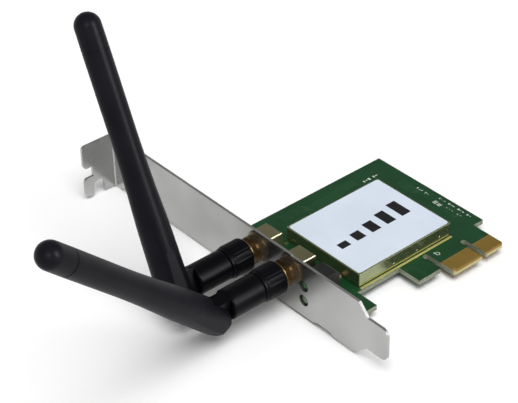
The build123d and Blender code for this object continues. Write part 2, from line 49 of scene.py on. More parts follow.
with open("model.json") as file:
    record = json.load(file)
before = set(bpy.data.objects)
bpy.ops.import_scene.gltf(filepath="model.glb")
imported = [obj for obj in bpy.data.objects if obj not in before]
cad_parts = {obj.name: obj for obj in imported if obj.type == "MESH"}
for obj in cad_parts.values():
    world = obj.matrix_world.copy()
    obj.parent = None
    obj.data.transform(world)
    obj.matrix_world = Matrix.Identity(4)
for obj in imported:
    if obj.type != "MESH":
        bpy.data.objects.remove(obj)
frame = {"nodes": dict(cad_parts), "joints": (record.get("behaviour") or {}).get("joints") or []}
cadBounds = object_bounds()
nodes = frame["nodes"]
jointOf = {joint["name"]: joint for joint in frame["joints"]}
print("frame loaded:", len(nodes), "nodes")

# where things are, read from the frame
bracketSheet = 0.86  # thickness of the bracket's steel
boardLow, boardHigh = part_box("circuit_board")
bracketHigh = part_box("bracket")[1]
lidLow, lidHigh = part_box("shield_lid")
labelLow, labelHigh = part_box("label")
holderLow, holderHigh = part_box("led_holder")
boardTop = boardHigh[2]
boardBottom = boardLow[2]
innerFace = bracketHigh[1]  # the bracket's side towards the board
bracketFace = innerFace - bracketSheet * mm
jackAxes = [jointOf[f"antenna_{n}_swivel"]["pos_m"][0] for n in (1, 2)]


# mesh helpers

def addObject(name, bm, material, body, smooth=False):
    mesh = bpy.data.meshes.new(name)
    bm.to_mesh(mesh)
    bm.free()
    piece = bpy.data.objects.new(name, mesh)
    bpy.context.scene.collection.objects.link(piece)
    mesh.materials.append(material)
    for polygon in mesh.polygons:
        polygon.use_smooth = smooth
    if body:
        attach(piece, body)
    return piece


def addBox(bm, low, high):
    centre = [(a + b) / 2 for a, b in zip(low, high)]
    size = [b - a for a, b in zip(low, high)]
    place = Matrix.Translation(centre) @ Matrix.Diagonal((*size, 1))
    bmesh.ops.create_cube(bm, size=1.0, matrix=place)


def ringAt(bm, place, radii, height):
    # a ring of points about place's own Z, one for each radius
    ring = []
    for k, radius in enumerate(radii):
        angle = 2 * math.pi * k / len(radii)
        spot = Vector((radius * math.cos(angle), radius * math.sin(angle), height))
        ring.append(bm.verts.new(place @ (spot * mm)))
    return ring


def bridge(bm, rings):
    # faces from ring to ring; a last ring of one point closes the shape
    for a, b in zip(rings, rings[1:]):
        for k in range(len(a)):
            n = (k + 1) % len(a)
            bm.faces.new((a[k], a[n], b[0]) if len(b) == 1 else (a[k], a[n], b[n], b[k]))


def turned(bm, place, profile, steps=48):
    # a lathe shape; profile is (radius, height) pairs in mm, and a radius of 0 is a point
    rings = []
    for radius, height in profile:
        radii = [radius] * (steps if radius else 1)
        rings.append(ringAt(bm, place, radii, height))
    bridge(bm, rings)


def turnedShares(bm, place, radius, outline, steps):
    # the same with outline as (share of the radius, height) pairs
    turned(bm, place, [(radius * share, height) for share, height in outline], steps)


def ribbon(bm, points, width, low, high):
    # a flat line through points in XY, between two heights
    rows = []
    for i, point in enumerate(points):
        before = Vector(points[max(i - 1, 0)])
        after = Vector(points[min(i + 1, len(points) - 1)])
        run = (after - before).normalized()
        side = Vector((-run.y, run.x)) * width / 2
        here = Vector(point)
        rows.append([bm.verts.new((here.x + s * side.x, here.y + s * side.y, z))
                     for s, z in ((1, low), (1, high), (-1, high), (-1, low))])
    for a, b in zip(rows, rows[1:]):
        for k in range(4):
            n = (k + 1) % 4
            bm.faces.new((a[k], b[k], b[n], a[n]))
    bm.faces.new(rows[0])
    bm.faces.new(list(reversed(rows[-1])))


def facing(origin, direction, side=(1, 0, 0)):
    # a place at origin with its own Z along direction
    z = Vector(direction).normalized()
    x = Vector(side)
    x = (x - z * x.dot(z)).normalized()
    y = z.cross(x)
    return Matrix.Translation(origin) @ Matrix((x, y, z)).transposed().to_4x4()


# shader helpers

def feed(tree, socket, value):
    # an output is linked to the socket; a number, vector or colour is set on it
    if isinstance(value, bpy.types.NodeSocket):
        tree.links.new(value, socket)
    elif socket.type == "RGBA":
        socket.default_value = (*value, 1)
    else:
        socket.default_value = value


def objectPlace(tree):
    return tree.nodes.new("ShaderNodeTexCoord").outputs["Object"]


def mathNode(tree, operation, *values):
    node = tree.nodes.new("ShaderNodeMath")
    node.operation = operation
    for socket, value in zip(node.inputs, values):
        feed(tree, socket, value)
    return node.outputs[0]


def noise(tree, place, scale, detail, roughness=0.5):
    node = tree.nodes.new("ShaderNodeTexNoise")
    for label, value in (("Vector", place), ("Scale", scale), ("Detail", detail), ("Roughness", roughness)):
        feed(tree, node.inputs[label], value)
    return node.outputs["Fac"]


def vectorNode(tree, operation, a, b):
    node = tree.nodes.new("ShaderNodeVectorMath")
    node.operation = operation
    feed(tree, node.inputs[0], a)
    feed(tree, node.inputs[1], b)
    return node.outputs["Value" if operation == "DOT_PRODUCT" else "Vector"]


def axes(tree, vector):
    node = tree.nodes.new("ShaderNodeSeparateXYZ")
    tree.links.new(vector, node.inputs["Vector"])
    return node.outputs


def blend(tree, tone, dark, light, span=(0.35, 0.65)):
    # dark below the span of the tone, light above it
    node = tree.nodes.new("ShaderNodeValToRGB")
    for element, position, colour in zip(node.color_ramp.elements, span, (dark, light)):
        element.position = position
        element.color = (*colour, 1)
    tree.links.new(tone, node.inputs["Fac"])
    return node.outputs["Color"]


def spread(tree, source, low, high, start=0.0, end=1.0, smooth=False):
    # carries start to end of the source onto low to high
    node = tree.nodes.new("ShaderNodeMapRange")
    node.interpolation_type = "SMOOTHSTEP" if smooth else "LINEAR"
    for label, value in (("Value", source), ("From Min", start), ("From Max", end), ("To Min", low),
                         ("To Max", high)):
        feed(tree, node.inputs[label], value)
    return node.outputs["Result"]


def bump(tree, shader, height, strength, depth):
    node = tree.nodes.new("ShaderNodeBump")
    node.inputs["Strength"].default_value = strength
    node.inputs["Distance"].default_value = depth
    tree.links.new(height, node.inputs["Height"])
    tree.links.new(node.outputs["Normal"], shader.inputs["Normal"])


def mixColour(tree, mask, under, over):
    node = tree.nodes.new("ShaderNodeMix")
    node.data_type = "RGBA"
    for index, value in ((0, mask), (6, under), (7, over)):  # a colour mix uses these three sockets
        feed(tree, node.inputs[index], value)
    return node.outputs[2]


# shader groups, with scales in cells per metre

def newGroup(name, inputs, outputs):
    group = bpy.data.node_groups.new(name, "ShaderNodeTree")
    for label, kind, value in inputs:
        socket = group.interface.new_socket(name=label, in_out="INPUT", socket_type=kind)
        socket.default_value = value
    for label in outputs:
        group.interface.new_socket(name=label, in_out="OUTPUT", socket_type="NodeSocketFloat")
    return group, group.nodes.new("NodeGroupInput").outputs, group.nodes.new("NodeGroupOutput").inputs


def groupNode(tree, group, **values):
    node = tree.nodes.new("ShaderNodeGroup")
    node.node_tree = group
    for label, value in values.items():
        node.inputs[label].default_value = value
    return node.outputs


# fine moulded grain, with broad changes of tone
mouldGrain, given, out = newGroup("mouldGrain", [("Scale", "NodeSocketFloat", 5000.0)], ["Height", "Tone"])
place = objectPlace(mouldGrain)
mouldGrain.links.new(noise(mouldGrain, place, given["Scale"], 3), out["Height"])
mouldGrain.links.new(noise(mouldGrain, place, 90.0, 4), out["Tone"])

# lines drawn out along X, as rolling and brushing leave them
rolledLines, given, out = newGroup("rolledLines", [("Scale", "NodeSocketFloat", 3000.0),
                                                   ("Along", "NodeSocketVector", (0.03, 1, 1))],
                                   ["Height", "Tone"])
place = objectPlace(rolledLines)
lines = vectorNode(rolledLines, "MULTIPLY", place, given["Along"])
rolledLines.links.new(noise(rolledLines, lines, given["Scale"], 4, 0.7), out["Height"])
rolledLines.links.new(noise(rolledLines, place, 70.0, 3), out["Tone"])

# sparse specks of dust and lint
dustSpecks, given, out = newGroup("dustSpecks", [("Scale", "NodeSocketFloat", 900.0),
                                                 ("Amount", "NodeSocketFloat", 0.1)], ["Mask"])
cells = dustSpecks.nodes.new("ShaderNodeTexVoronoi")
dustSpecks.links.new(objectPlace(dustSpecks), cells.inputs["Vector"])
dustSpecks.links.new(given["Scale"], cells.inputs["Scale"])
near = mathNode(dustSpecks, "LESS_THAN", cells.outputs["Distance"], given["Amount"])
dustSpecks.links.new(near, out["Mask"])


def newMaterial(name, colour, roughness, metallic=0.0, shine=0.5):
    material = bpy.data.materials.new(name)
    material.use_nodes = True
    shader = material.node_tree.nodes["Principled BSDF"]
    for label, value in (("Base Color", colour), ("Roughness", roughness), ("Metallic", metallic),
                         ("Specular IOR Level", shine)):
        feed(material.node_tree, shader.inputs[label], value)
    return material, material.node_tree, shader


def surface(tree, shader, colour, grain, choices, height=None):
    # the last links of a finish: its colour, and its roughness and bump from the pattern
    tree.links.new(colour, shader.inputs["Base Color"])
    tree.links.new(spread(tree, grain["Height"], *choices["rough"]), shader.inputs["Roughness"])
    bump(tree, shader, height or grain["Height"], *choices["bump"])


# finishes: colours from dark to light, roughness range, metallic, pattern and its scale, bump strength and
# depth in metres; some have dust, as the size of its specks and their colour, and a shine other than 0.5
dustScale = 850.0
finishes = {
    "zincPlate": {"dark": (0.385, 0.385, 0.376), "light": (0.45, 0.45, 0.44), "rough": (0.14, 0.24),
                  "metallic": 0.95, "pattern": rolledLines, "scale": 2600.0, "bump": (0.06, 0.00002)},
    "tinPlate": {"dark": (0.27, 0.3, 0.165), "light": (0.35, 0.375, 0.23), "rough": (0.15, 0.25),
                 "metallic": 0.9, "pattern": rolledLines, "scale": 3000.0, "bump": (0.02, 0.00001)},
    "goldPlate": {"dark": (0.3, 0.2, 0.035), "light": (0.38, 0.26, 0.052), "rough": (0.3, 0.45),
                  "metallic": 0.9, "pattern": rolledLines, "scale": 4200.0, "bump": (0.1, 0.00002)},
    "stripGold": {"dark": (0.6, 0.53, 0.2), "light": (0.75, 0.68, 0.3), "rough": (0.35, 0.5),
                  "metallic": 0.7, "pattern": rolledLines, "scale": 4200.0, "bump": (0.1, 0.00002)},
    "rodPlastic": {"dark": (0.0044, 0.0044, 0.0068), "light": (0.0066, 0.0066, 0.0098), "rough": (0.34, 0.46),
                   "metallic": 0.0, "pattern": mouldGrain, "scale": 5200.0, "bump": (0.2, 0.00003),
                   "dust": (0.012, (0.04, 0.04, 0.04)), "shine": 0.07},
    "basePlastic": {"dark": (0.0016, 0.0016, 0.0026), "light": (0.0026, 0.0026, 0.004), "rough": (0.29, 0.38),
                    "metallic": 0.0, "pattern": mouldGrain, "scale": 6400.0, "bump": (0.12, 0.00002),
                    "dust": (0.012, (0.03, 0.03, 0.03)), "shine": 0.06},
    # brass darkened well below its own colour: painted shade, as on the jack nuts and washers in the gap
    # between the collars and the bracket; the ferrules and radiators use the same colour
    "brassPaintedShade": {"dark": (0.09, 0.05, 0.018), "light": (0.19, 0.115, 0.045), "rough": (0.29, 0.38),
                 "metallic": 1.0, "pattern": rolledLines, "scale": 5200.0, "bump": (0.15, 0.00003)},
    "paleBrass": {"dark": (0.7, 0.5, 0.2), "light": (0.85, 0.66, 0.32), "rough": (0.29, 0.36),
                  "metallic": 1.0, "pattern": rolledLines, "scale": 5200.0, "bump": (0.15, 0.00003)},
    "pinSteel": {"dark": (0.4, 0.4, 0.4), "light": (0.5, 0.5, 0.5), "rough": (0.29, 0.4),
                 "metallic": 1.0, "pattern": rolledLines, "scale": 5000.0, "bump": (0.1, 0.00002)},
    "whitePlastic": {"dark": (0.78, 0.78, 0.75), "light": (0.84, 0.84, 0.81), "rough": (0.35, 0.5),
                     "metallic": 0.0, "pattern": mouldGrain, "scale": 5000.0, "bump": (0.1, 0.00002)},
    "chipMould": {"dark": (0.012, 0.012, 0.013), "light": (0.02, 0.02, 0.022), "rough": (0.45, 0.65),
                  "metallic": 0.0, "pattern": mouldGrain, "scale": 9000.0, "bump": (0.3, 0.00002),
                  "dust": (0.03, (0.06, 0.06, 0.06))},
    "holderPlastic": {"dark": (0.005, 0.006, 0.005), "light": (0.01, 0.012, 0.01), "rough": (0.4, 0.55),
                      "metallic": 0.0, "pattern": mouldGrain, "scale": 7000.0, "bump": (0.2, 0.00002),
                      "shine": 0.25},
    "ferrite": {"dark": (0.06, 0.06, 0.065), "light": (0.11, 0.11, 0.11), "rough": (0.5, 0.7),
                "metallic": 0.2, "pattern": mouldGrain, "scale": 7000.0, "bump": (0.4, 0.00003)},
    "tanCeramic": {"dark": (0.3, 0.19, 0.1), "light": (0.42, 0.28, 0.16), "rough": (0.35, 0.5),
                   "metallic": 0.0, "pattern": mouldGrain, "scale": 6000.0, "bump": (0.2, 0.00002)},
    "solder": {"dark": (0.5, 0.5, 0.5), "light": (0.68, 0.68, 0.68), "rough": (0.29, 0.38),
               "metallic": 1.0, "pattern": mouldGrain, "scale": 2500.0, "bump": (0.2, 0.00004)},
    "labelFilm": {"dark": (0.6, 0.665, 0.76), "light": (0.645, 0.71, 0.8), "rough": (0.3, 0.4),
                  "metallic": 0.0, "pattern": mouldGrain, "scale": 4000.0, "bump": (0.05, 0.00001),
                  "shine": 0.12},
    "blackInk": {"dark": (0.004, 0.004, 0.005), "light": (0.007, 0.007, 0.009), "rough": (0.4, 0.55),
                 "metallic": 0.0, "pattern": mouldGrain, "scale": 5000.0, "bump": (0.1, 0.00001),
                 "shine": 0.25},
    "whiteInk": {"dark": (0.4, 0.46, 0.41), "light": (0.55, 0.6, 0.55), "rough": (0.5, 0.65),
                 "metallic": 0.0, "pattern": mouldGrain, "scale": 7000.0, "bump": (0.1, 0.00001)},
}


def dressed(name, finish):
    # tone comes from the pattern's broad noise, roughness and bump from its fine one
    material, tree, shader = newMaterial(name, finish["light"], finish["rough"][1], finish["metallic"],
                                         finish.get("shine", 0.5))
    grain = groupNode(tree, finish["pattern"], Scale=finish["scale"])
    colour = blend(tree, grain["Tone"], finish["dark"], finish["light"])
    if "dust" in finish:
        amount, dustColour = finish["dust"]
        specks = groupNode(tree, dustSpecks, Scale=dustScale, Amount=amount)
        colour = mixColour(tree, specks["Mask"], colour, dustColour)
    surface(tree, shader, colour, grain, finish)
    return material


# green solder mask, with the laminate showing on cut edges and bare round the edge contacts
maskColours = {"boardMask": ((0.0055, 0.038, 0.0125), (0.009, 0.052, 0.018)),
               "traceMask": ((0.008, 0.054, 0.018), (0.012, 0.07, 0.024))}
mask = {"rough": (0.29, 0.37), "shine": 0.16, "scale": 2600.0, "bump": (0.08, 0.00002),
        "toneSpan": (0.3, 0.7), "weave": 2400.0, "weaveStretch": (0.25, 0.25, 3),
        "laminate": ((0.15, 0.17, 0.11), (0.32, 0.34, 0.26)),
        "bare": (0.27, 0.165, 0.045), "paleEdge": (0.5, 0.45, 0.22),
        "tongueFromY": -12.5, "bareFromX": -5.8, "edgeFromX": -0.6, "steepest": 0.6}


def maskMaterial(name, dark, light):
    material, tree, shader = newMaterial(name, light, mask["rough"][0], 0.0, mask["shine"])
    grain = groupNode(tree, mouldGrain, Scale=mask["scale"])
    place = objectPlace(tree)
    spot = axes(tree, place)
    normal = axes(tree, tree.nodes.new("ShaderNodeNewGeometry").outputs["True Normal"])
    onEdge = mathNode(tree, "LESS_THAN", mathNode(tree, "ABSOLUTE", normal["Z"]), mask["steepest"])
    inTongue = mathNode(tree, "GREATER_THAN", spot["Y"], mask["tongueFromY"] * mm)
    onBare = mathNode(tree, "GREATER_THAN", spot["X"], mask["bareFromX"] * mm)
    onBevel = mathNode(tree, "GREATER_THAN", spot["X"], mask["edgeFromX"] * mm)
    weave = noise(tree, vectorNode(tree, "MULTIPLY", place, mask["weaveStretch"]), mask["weave"], 2)
    laminate = blend(tree, weave, *mask["laminate"])
    laminate = mixColour(tree, mathNode(tree, "MULTIPLY", inTongue, onBevel), laminate, mask["paleEdge"])
    colour = blend(tree, grain["Tone"], dark, light, mask["toneSpan"])
    colour = mixColour(tree, mathNode(tree, "MULTIPLY", inTongue, onBare), colour, mask["bare"])
    surface(tree, shader, mixColour(tree, onEdge, colour, laminate), grain, mask)
    return material


# the jack: khaki block inside the bracket with a painted highlight on its broken edges, gold barrel outside
# it, with the fine thread as bump along Y
jackPlate = {"pitch": 0.7056, "gold": ((0.5, 0.34, 0.1), (0.66, 0.48, 0.17)),
             "khaki": ((0.26, 0.24, 0.125), (0.32, 0.295, 0.16)), "paleEdge": (0.6, 0.57, 0.4),
             "paintedHighlightSlopes": (0.4, 0.95), "rough": (0.29, 0.36), "scale": 4200.0, "bump": (0.9, 0.0003)}


def threadedPlate():
    material, tree, shader = newMaterial("threadedPlate", jackPlate["gold"][1], jackPlate["rough"][0], 1.0)
    grain = groupNode(tree, rolledLines, Scale=jackPlate["scale"])
    along = axes(tree, objectPlace(tree))["Y"]
    normal = axes(tree, tree.nodes.new("ShaderNodeNewGeometry").outputs["True Normal"])
    outside = mathNode(tree, "LESS_THAN", along, float(bracketFace))
    onSide = mathNode(tree, "LESS_THAN", mathNode(tree, "ABSOLUTE", normal["Y"]), 0.5)
    turns = mathNode(tree, "MULTIPLY", along, 2 * math.pi / (jackPlate["pitch"] * mm))
    wave = mathNode(tree, "MULTIPLY", mathNode(tree, "SINE", turns), outside)
    thread = mathNode(tree, "MULTIPLY", wave, onSide)
    barrel = blend(tree, grain["Tone"], *jackPlate["gold"])
    block = blend(tree, grain["Tone"], *jackPlate["khaki"])
    # painted highlight: the block's broken edges, picked by the slope of their faces, get a pale colour for
    # the light they catch
    rise = mathNode(tree, "ABSOLUTE", normal["Z"])
    shallow, steep = jackPlate["paintedHighlightSlopes"]
    paintedEdgeHighlight = mathNode(tree, "MULTIPLY", mathNode(tree, "GREATER_THAN", rise, shallow),
                      mathNode(tree, "LESS_THAN", rise, steep))
    block = mixColour(tree, paintedEdgeHighlight, block, jackPlate["paleEdge"])
    surface(tree, shader, mixColour(tree, outside, block, barrel), grain, jackPlate, thread)
    return material


# the two signal lights
lensColours = {"greenLens": (0.12, 0.4, 0.16), "paleLens": (0.3, 0.5, 0.25)}
lens = {"rough": 0.12, "clear": 0.6, "ior": 1.5, "scale": 1500.0, "bump": (0.05, 0.00003),
        "shade": 0.8, "toneSpan": (0.3, 0.7)}


def lensMaterial(name, colour):
    material, tree, shader = newMaterial(name, colour, lens["rough"])
    shader.inputs["Transmission Weight"].default_value = lens["clear"]
    shader.inputs["IOR"].default_value = lens["ior"]
    grain = groupNode(tree, mouldGrain, Scale=lens["scale"])
    shaded = tuple(channel * lens["shade"] for channel in colour)
    tone = blend(tree, grain["Tone"], shaded, colour, lens["toneSpan"])
    tree.links.new(tone, shader.inputs["Base Color"])
    bump(tree, shader, grain["Height"], *lens["bump"])
    return material


made = {name: dressed(name, finish) for name, finish in finishes.items()}
made.update({name: maskMaterial(name, *colours) for name, colours in maskColours.items()})
made.update({name: lensMaterial(name, colour) for name, colour in lensColours.items()})
made["threadedPlate"] = threadedPlate()
print("materials made:", len(made))

finishOf = {
    "bracket": "zincPlate", "circuit_board": "boardMask", "contacts_component_side": "goldPlate",
    "contacts_solder_side": "goldPlate", "ground_strip": "stripGold", "shield_frame": "tinPlate",
    "shield_lid": "tinPlate", "label": "labelFilm", "radio_chip": "chipMould", "front_end_chip": "chipMould",
    "flash_chip": "chipMould", "crystal": "tinPlate", "power_inductor": "ferrite",
    "ceramic_capacitors": "tanCeramic", "chip_resistors": "chipMould", "led_holder": "holderPlastic",
    "activity_light": "greenLens", "link_light": "paleLens",
}
for n in (1, 2):
    finishOf.update({
        f"jack_{n}_body": "threadedPlate", f"jack_{n}_insulator": "whitePlastic",
        f"jack_{n}_contact": "goldPlate", f"jack_{n}_washer": "brassPaintedShade", f"jack_{n}_nut": "brassPaintedShade",
        f"antenna_{n}_coupling_nut": "paleBrass", f"antenna_{n}_collar": "basePlastic",
        f"antenna_{n}_plug_ferrule": "brassPaintedShade", f"antenna_{n}_plug_insulator": "whitePlastic",
        f"antenna_{n}_plug_contact": "goldPlate", f"antenna_{n}_base": "basePlastic",
        f"antenna_{n}_hinge_pin": "pinSteel", f"antenna_{n}_rod": "rodPlastic",
        f"antenna_{n}_tip_cap": "rodPlastic", f"antenna_{n}_radiator": "brassPaintedShade",
    })
for name, finish in finishOf.items():
    for materialSlot in nodes[name].material_slots:
        materialSlot.material = made[finish]

# rising bars printed on the label
labelBars = {"count": 5, "width": 3.5, "gap": 2.5, "shortest": 2.6, "tallest": 7.2, "thickness": 0.015,
             "sunk": 0.005}


def addLabelBars():
    bm = bmesh.new()
    middle = [(a + b) / 2 for a, b in zip(labelLow, labelHigh)]
    count, pitch = labelBars["count"], labelBars["width"] + labelBars["gap"]
    foot = middle[0] + labelBars["tallest"] / 2 * mm
    start = middle[1] - (count * pitch - labelBars["gap"]) / 2 * mm
    bottom = labelHigh[2] - labelBars["sunk"] * mm
    top = labelHigh[2] + labelBars["thickness"] * mm
    for i in range(count):
        tall = labelBars["shortest"] + (labelBars["tallest"] - labelBars["shortest"]) * i / (count - 1)
        y = start + i * pitch * mm
        addBox(bm, (foot - tall * mm, y, bottom), (foot, y + labelBars["width"] * mm, top))
    addObject("label_bars", bm, made["blackInk"], "card")


addLabelBars()

# ribbed grip over each coupling nut, with the nut's brass rim showing at the jack's end
grip = {
    "ribs": 30, "ribDepth": 0.08, "ribSharpness": 0.8, "stepsPerRib": 4,
    # outline at the jack's end: radius, distance from that end, share of the ribs' depth
    "front": [(3.55, 0.02, 0), (4.35, 0, 0), (4.62, 0.25, 0), (4.925, 0.6, 1), (4.925, 1.2, 1)],
    # outline at the rod's end, in the same way
    "back": [(4.925, 2.3, 1), (4.925, 1.6, 0.6), (4.8, 1.1, 0), (4.62, 0.75, 0), (4.6, 0.3, 0),
             (4.5, 0.06, 0), (4.35, 0, 0), (2.62, 0, 0)],
    # outline of the rim: radius, distance in from the grip's end
    "rim": [(3.5, 0.08), (4.22, 0.08), (4.3, 0), (4.3, -0.14), (4.2, -0.24), (3.5, -0.24)],
}


def ribbedSleeve(bm, place, profile):
    steps = grip["ribs"] * grip["stepsPerRib"]
    waves = [0.5 - 0.5 * math.cos(2 * math.pi * k / grip["stepsPerRib"]) for k in range(steps)]
    grooves = [grip["ribDepth"] * wave ** grip["ribSharpness"] for wave in waves]
    rings = []
    for radius, height, ribbed in profile:
        rings.append(ringAt(bm, place, [radius - ribbed * groove for groove in grooves], height))
    bridge(bm, rings)


def addGrip(n):
    axisX, _, axisZ = jointOf[f"antenna_{n}_coupling_turn"]["pos_m"]
    place = facing(Vector((axisX, bracketFace, axisZ)), (0, -1, 0))
    low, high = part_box(f"antenna_{n}_collar")
    start, end = (bracketFace - high[1]) / mm, (bracketFace - low[1]) / mm
    profile = [(radius, start + distance, ribbed) for radius, distance, ribbed in grip["front"]]
    profile += [(radius, end - distance, ribbed) for radius, distance, ribbed in grip["back"]]
    bm = bmesh.new()
    ribbedSleeve(bm, place, profile)
    collar = addObject(f"antenna_{n}_grip", bm, made["basePlastic"], f"antenna_{n}_coupling")
    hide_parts(f"antenna_{n}_collar")
    bm = bmesh.new()
    turned(bm, place, [(radius, start + distance) for radius, distance in grip["rim"]])
    addObject(f"antenna_{n}_rim", bm, made["paleBrass"], f"antenna_{n}_coupling")


for n in (1, 2):
    addGrip(n)
print("label and grips made")

# solder joints under the jacks and the light holder
solderJoint = {
    "post": 0.95, "signal": 0.75, "lead": 0.5, "steps": 20,
    "outline": [(1, -0.01), (0.8, 0.16), (0.62, 0.45), (0.45, 0.75), (0, 0.81)],  # share of radius, height
    "postSpacing": 5.1, "jackCentre": 3.9, "signalPlace": 4.4,  # from the bracket's inner face
    "leadSpacing": 2.54, "leadPlaces": (1.2, 3.74),  # from the holder's rear
}


def solderCone(bm, x, y, radius):
    place = facing(Vector((x, y, boardBottom)), (0, 0, -1))
    turnedShares(bm, place, radius, solderJoint["outline"], solderJoint["steps"])


def addSolderJoints():
    bm = bmesh.new()
    half = solderJoint["postSpacing"] / 2
    for x in jackAxes:
        for dx in (-half, half):
            for dy in (-half, half):
                y = innerFace + (solderJoint["jackCentre"] + dy) * mm
                solderCone(bm, x + dx * mm, y, solderJoint["post"])
        solderCone(bm, x, innerFace + solderJoint["signalPlace"] * mm, solderJoint["signal"])
    middle = (holderLow[0] + holderHigh[0]) / 2
    half = solderJoint["leadSpacing"] / 2
    for dx in (-half, half):
        for inset in solderJoint["leadPlaces"]:
            solderCone(bm, middle + dx * mm, holderHigh[1] - inset * mm, solderJoint["lead"])
    addObject("solder_joints", bm, made["solder"], "card", smooth=True)


addSolderJoints()

# traces and vias; side is 1 for the component side and -1 for the solder side
left, near, far = boardLow[0] / mm, boardLow[1] / mm, boardHigh[1] / mm
traces = {
    "width": 0.22, "height": 0.02, "viaRadius": 0.24, "viaSteps": 16,
    "viaOutline": [(1, -0.005), (1, 0.022), (0.5, 0.026), (0.45, -0.005)],  # share of radius, height
    # runs side by side: start, turns as (dx, dy), how many, side, step from one to the next
    "bundles": [
        ((left + 2.4, near + 22), [(0, 8), (1.6, 1.6), (0, 12), (-1.2, 1.2), (0, 6)], 6, 1, (0.6, 0)),
        ((left + 14, far - 3.0), [(6, 0), (1.5, 1.5), (9, 0), (1.2, -1.2), (6, 0)], 5, 1, (0, -0.65)),
        ((-15.5, near + 2.0), [(0, 6), (1.8, 1.8), (0, 4.5)], 4, 1, (0.62, 0)),
        ((-10.5, -21.5), [(0, 1.8), (1.2, 1.2), (3.6, 0)], 3, 1, (0.5, -0.5)),
        ((-48, -30), [(10, 0), (6, 6), (12, 0), (8, 8), (6, 0)], 8, -1, (-0.35, 0.75)),
        ((-52, -6), [(8, 0), (5, 5), (16, 0), (3, -3), (9, 0)], 7, -1, (0, -0.8)),
        ((-44, -47), [(0, 5), (4, 4), (0, 9)], 6, -1, (0.8, 0)),
        ((-28, -45), [(0, 6), (5, 5), (0, 10), (4, 4), (0, 3)], 5, -1, (0.8, 0)),
    ],
    "loose": {"seed": 7, "count": 46, "radius": 0.26, "x": (left + 1.5, -14), "y": (near + 12, far - 1.5)},
    "bare": [(-42.4, -38.6, 0.55), (-12.5, -8.7, 0.5)],  # x, y and radius, on the component side
}


def via(bm, x, y, side, radius):
    place = facing(Vector((x * mm, y * mm, boardTop if side > 0 else boardBottom)), (0, 0, side))
    turnedShares(bm, place, radius, traces["viaOutline"], traces["viaSteps"])


def layer(side, thickness):
    # from low to high, on the board's face on that side
    if side > 0:
        return boardTop, boardTop + thickness * mm
    return boardBottom - thickness * mm, boardBottom


def addTraces():
    runs, goldVias, coveredVias = bmesh.new(), bmesh.new(), bmesh.new()
    for start, turns, count, side, step in traces["bundles"]:
        ends = coveredVias if side > 0 else goldVias
        for k in range(count):
            points = [Vector(start) + Vector(step) * k]
            for turn in turns:
                points.append(points[-1] + Vector(turn))
            path = [point * mm for point in points]
            ribbon(runs, path, traces["width"] * mm, *layer(side, traces["height"]))
            for point in (points[0], points[-1]):
                via(ends, point.x, point.y, side, traces["viaRadius"])
    loose = traces["loose"]
    random.seed(loose["seed"])
    for k in range(loose["count"]):
        via(goldVias, random.uniform(*loose["x"]), random.uniform(*loose["y"]), -1, loose["radius"])
    for x, y, radius in traces["bare"]:
        via(goldVias, x, y, 1, radius)
    addObject("board_traces", runs, made["traceMask"], "card")
    addObject("board_vias", goldVias, made["goldPlate"], "card")
    addObject("tented_vias", coveredVias, made["traceMask"], "card")


addTraces()

# plain frames, ticks and dots printed round the parts
boardPrint = {
    "lineWidth": 0.16, "height": 0.018, "heightBelow": 0.03,
    "jackFrame": {"half": 4.0, "from": 0.6, "to": 8.6},  # from the bracket's inner face
    "holderFrame": {"low": (-0.5, 0.2), "high": (0.5, 0.5)},  # round the light holder
    # rows of ticks: start, step, how many, tick length, tick width
    "rows": {
        "corner": ((-50.0, -0.4), (0, 1.0), 6, 0.75, 1.1),
        "far": ((-36.8, 9.5), (0.85, 0), 6, 0.6, 0.9),
        "longRow": ((-28.4, 10.6), (0.95, 0), 14, 0.7, 0.7),
        "shortRow": ((-23.6, 8.7), (1.1, 0), 6, 0.55, 0.5),
    },
    # shares of a tick's length and width, taken in turn; a gap follows every third tick
    "lengths": (0.7, 0.85, 1.0), "widthsAlongX": (1, 0.35, 0.6), "widthsAlongY": (0.8, 0.35, 1.0),
    # single blocks: x from, x to, y, width
    "blocks": [(-28.4, -27.1, 8.2, 1.5), (-26.7, -25.3, 8.1, 1.3), (-10.4, -9.9, -10.2, 0.5)],
    "ring": {"centre": (-9.4, -9.6), "radius": 0.62, "width": 0.22, "steps": 12},
    "framesBelow": {"count": 3, "start": (-40, -12), "size": (6, 4), "pitch": 9},
}


def printLine(bm, points, side=1, width=boardPrint["lineWidth"]):
    thickness = boardPrint["height"] if side > 0 else boardPrint["heightBelow"]
    ribbon(bm, [(x * mm, y * mm) for x, y in points], width * mm, *layer(side, thickness))


def printFrame(bm, low, high, side=1):
    corners = [low, (high[0], low[1]), high, (low[0], high[1])]
    for a, b in zip(corners, corners[1:] + corners[:1]):
        printLine(bm, [a, b], side)


